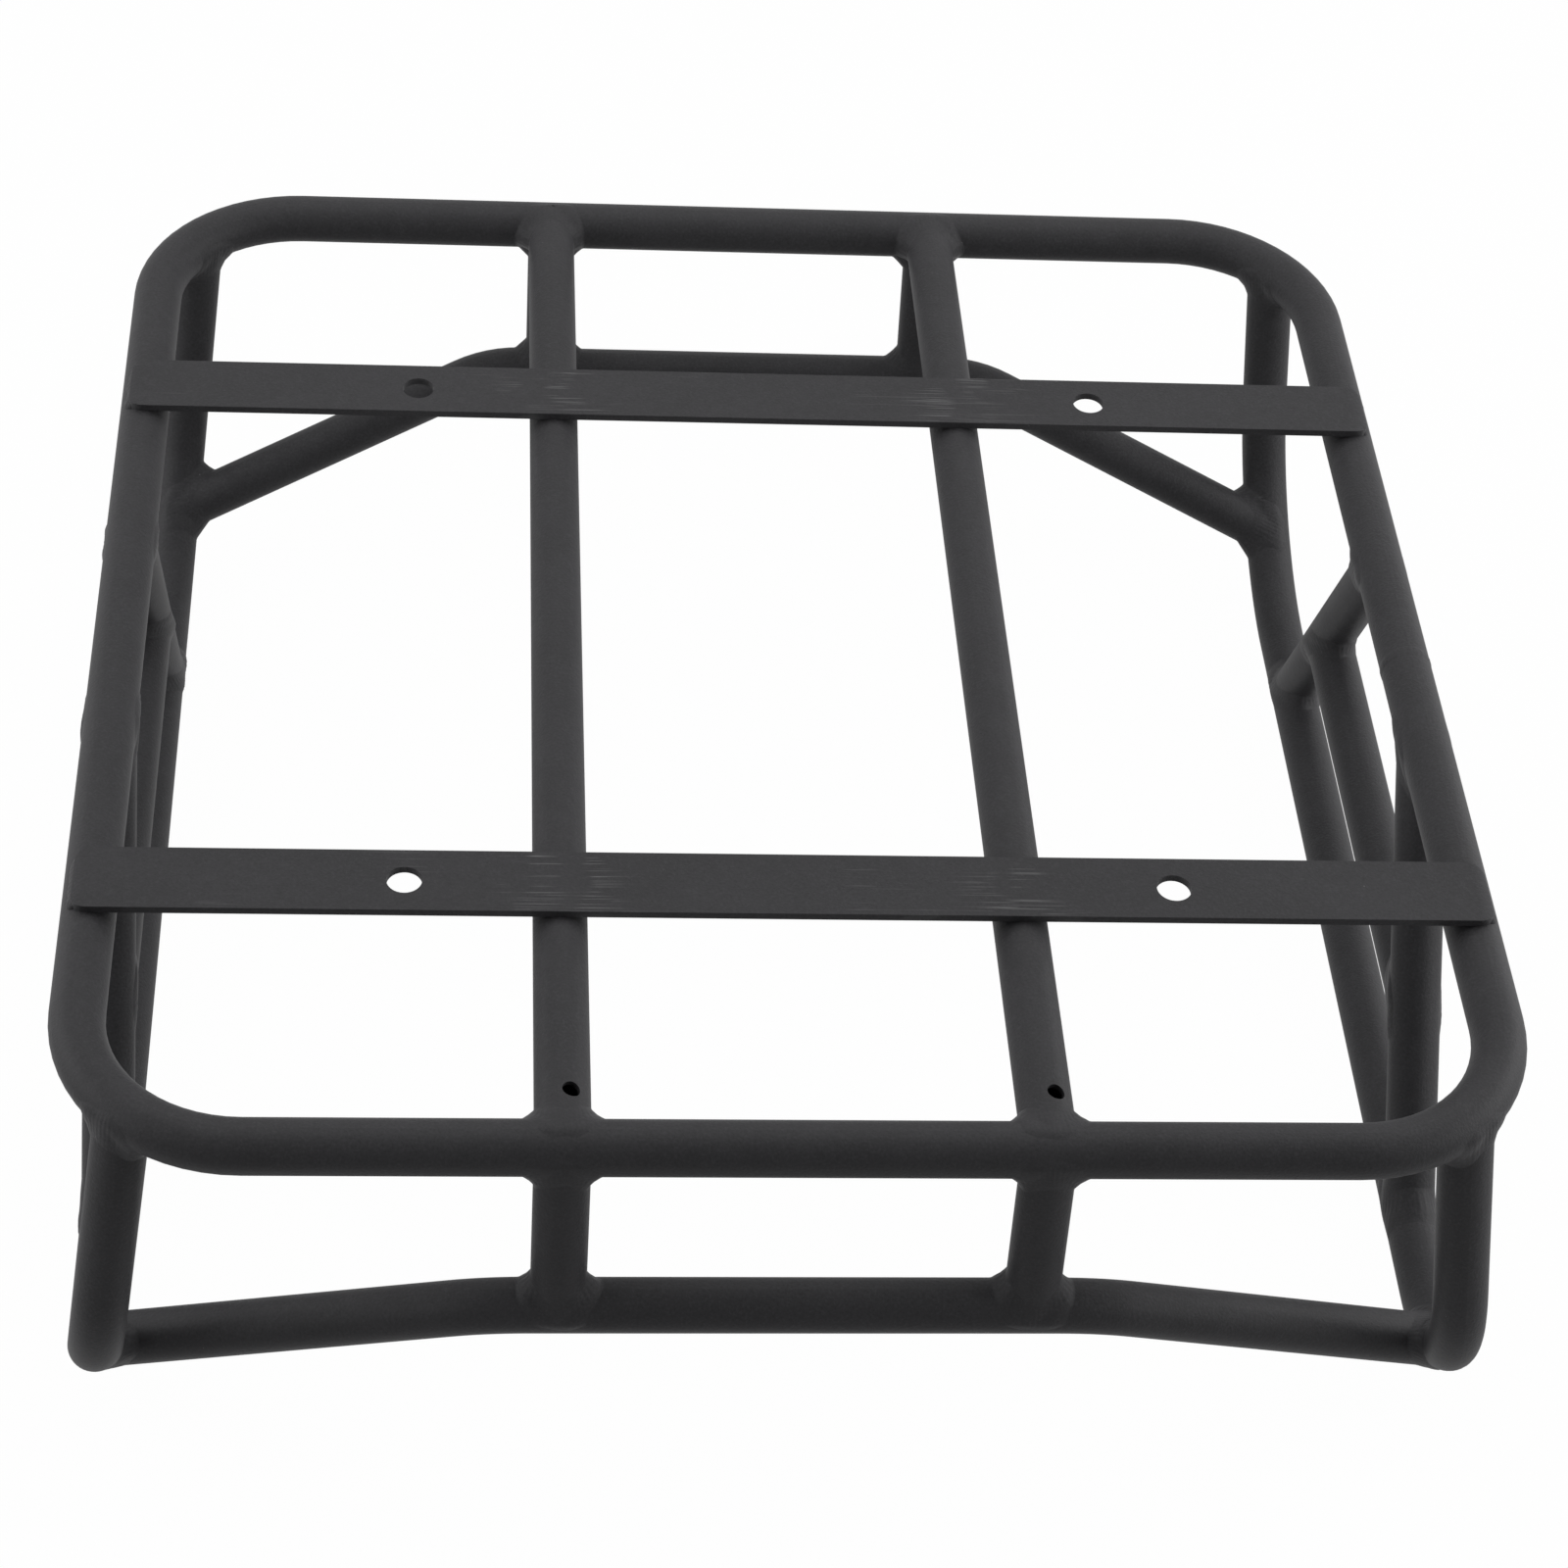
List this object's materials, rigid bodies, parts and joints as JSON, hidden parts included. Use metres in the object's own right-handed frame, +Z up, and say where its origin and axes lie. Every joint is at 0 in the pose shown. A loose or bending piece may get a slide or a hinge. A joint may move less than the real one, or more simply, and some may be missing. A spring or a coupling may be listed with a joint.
{
  "type": "luggage rack",
  "caption": "Welded steel tube luggage rack: a round-cornered flat deck on bent side hoops, braced by struts and raised lower cross rails, with drilled flat straps.",
  "frame": {"origin": "centre of the footprint, on the ground plane under the lower side rails", "axes": "+X to the rack's right, +Y to its rear (the end with the longer rear bends), +Z up, square to the deck"},
  "size_m": [0.5328, 0.571, 0.1645],
  "materials": {
    "tube_coat": "matt black fine-texture powder coat on round steel tube",
    "strap_coat": "matt black fine-texture powder coat on flat steel bar, lightly scuffed",
    "weld_coat": "matt black powder coat over weld beads"
  },
  "bodies": {
    "root": {"cross_strap_front": "strap_coat", "cross_strap_rear": "strap_coat", "front_lower_rail": "tube_coat", "front_lower_rail_welds": "weld_coat", "front_strut_left": "tube_coat", "front_strut_right": "tube_coat", "front_stub_left": "tube_coat", "front_stub_right": "tube_coat", "front_stub_welds": "weld_coat", "hoop_post_welds": "weld_coat", "long_tube_left": "tube_coat", "long_tube_right": "tube_coat", "long_tube_welds": "weld_coat", "loop_seam_weld": "weld_coat", "mid_rail_left": "tube_coat", "mid_rail_right": "tube_coat", "mid_rail_welds_left": "weld_coat", "mid_rail_welds_right": "weld_coat", "rear_lower_rail": "tube_coat", "rear_lower_rail_welds": "weld_coat", "rear_strut_left": "tube_coat", "rear_strut_right": "tube_coat", "rear_stub_left": "tube_coat", "rear_stub_right": "tube_coat", "rear_stub_welds": "weld_coat", "side_hoop_left": "tube_coat", "side_hoop_right": "tube_coat", "strap_welds_front": "weld_coat", "strap_welds_rear": "weld_coat", "strut_welds_left": "weld_coat", "strut_welds_right": "weld_coat", "top_loop": "tube_coat"}
  },
  "joints": []
}
